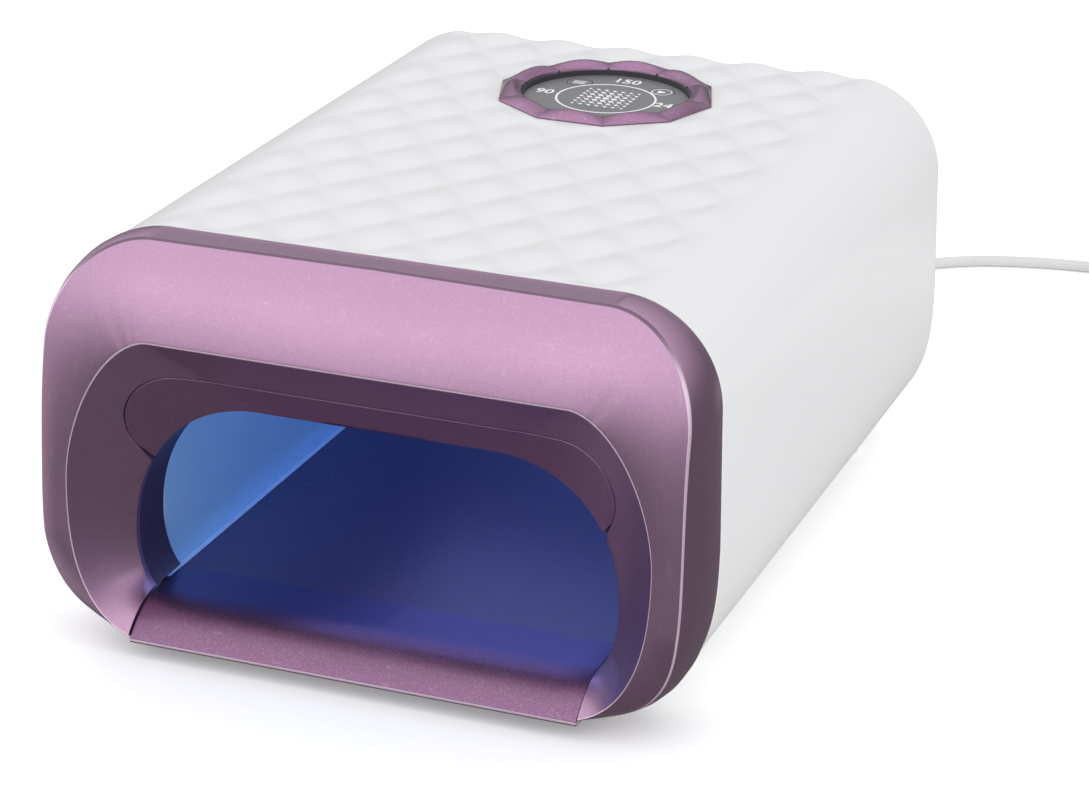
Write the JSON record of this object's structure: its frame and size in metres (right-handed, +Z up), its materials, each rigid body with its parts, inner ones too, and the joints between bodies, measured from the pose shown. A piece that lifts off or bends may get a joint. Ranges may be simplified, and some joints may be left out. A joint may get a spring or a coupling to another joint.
{
  "type": "uv led nail lamp",
  "caption": "Tunnel-shaped nail curing lamp with a metallic front bezel, pull-out mirrored floor tray, top control disc with push keys, and a coiled power lead with adapter.",
  "frame": {"origin": "bottom centre of the lamp, on the surface it stands on, leaving out the power lead", "axes": "+Z up, the hand opening faces -Y, +X to the right as seen from the front"},
  "size_m": [0.3221, 0.4585, 0.1272],
  "materials": {
    "casing_plastic": "satin white moulded plastic",
    "bezel_metallic": "satin rose-mauve metallic paint on moulded plastic",
    "funnel_metallic": "dark mauve metallic paint on moulded plastic",
    "inner_plastic": "matt moulded plastic",
    "mirror_sheet": "polished reflector sheet",
    "lamp_board": "white solder mask",
    "emitter": "clear lens over a violet emitter",
    "heat_metal": "plain sheet",
    "disc_plastic": "matt grey moulded plastic",
    "circuit_board": "green solder mask",
    "switch_plastic": "matt black moulded plastic",
    "indicator_lens": "clear lens",
    "ribbon": "flat cable",
    "capacitor_sleeve": "shrunk sleeve",
    "foot_rubber": "pale rubber",
    "screw_steel": "plated",
    "plug_plastic": "white moulded plastic",
    "lead_jacket": "white soft jacket",
    "pin_metal": "nickel plated",
    "tie_rubber": "soft strap"
  },
  "bodies": {
    "housing": {"casing": "casing_plastic", "rear_cover": "casing_plastic", "bezel": "bezel_metallic", "visor": "funnel_metallic", "mouth_collar": "funnel_metallic", "base_plate": "casing_plastic", "guide_left": "inner_plastic", "guide_right": "inner_plastic", "reflector_left": "mirror_sheet", "reflector_right": "mirror_sheet", "reflector_top": "mirror_sheet", "reflector_back": "mirror_sheet", "led_board": "lamp_board", "led_row_1": "emitter", "led_row_2": "emitter", "led_row_3": "emitter", "led_row_4": "emitter", "led_row_5": "emitter", "led_row_6": "emitter", "heat_spreader": "heat_metal", "control_ring": "bezel_metallic", "control_disc": "disc_plastic", "control_board": "circuit_board", "select_switch": "switch_plastic", "start_switch": "switch_plastic", "indicator_1": "indicator_lens", "indicator_2": "indicator_lens", "indicator_3": "indicator_lens", "buzzer": "switch_plastic", "control_ribbon": "ribbon", "led_ribbon": "ribbon", "driver_board": "circuit_board", "inductor": "switch_plastic", "capacitor": "capacitor_sleeve", "dc_jack": "switch_plastic", "foot_1": "foot_rubber", "foot_2": "foot_rubber", "foot_3": "foot_rubber", "foot_4": "foot_rubber", "base_screw_1": "screw_steel", "base_screw_2": "screw_steel", "base_screw_3": "screw_steel", "base_screw_4": "screw_steel", "dc_plug": "plug_plastic", "dc_plug_relief": "plug_plastic", "lead": "lead_jacket", "lead_coil": "lead_jacket", "lead_tail": "lead_jacket", "adapter_relief": "plug_plastic", "adapter": "plug_plastic", "adapter_pin_1": "pin_metal", "adapter_pin_2": "pin_metal", "coil_tie": "tie_rubber"},
    "tray": {"tray_front": "bezel_metallic", "tray_pan": "inner_plastic", "floor_mirror": "mirror_sheet"},
    "select_key": {"select_key": "disc_plastic"},
    "start_key": {"start_key": "disc_plastic"}
  },
  "joints": [
    {"name": "tray_slide", "type": "slide", "parent": "housing", "child": "tray", "axis": [0, -1, 0], "range_m": [0, 0.17]},
    {"name": "select_press", "type": "slide", "parent": "housing", "child": "select_key", "axis": [0, 0, -1], "range_m": [0, 0.0004], "stiffness_N_per_m": 600, "springref_m": -0.0003},
    {"name": "start_press", "type": "slide", "parent": "housing", "child": "start_key", "axis": [0, 0, -1], "range_m": [0, 0.0004], "stiffness_N_per_m": 600, "springref_m": -0.0003}
  ]
}
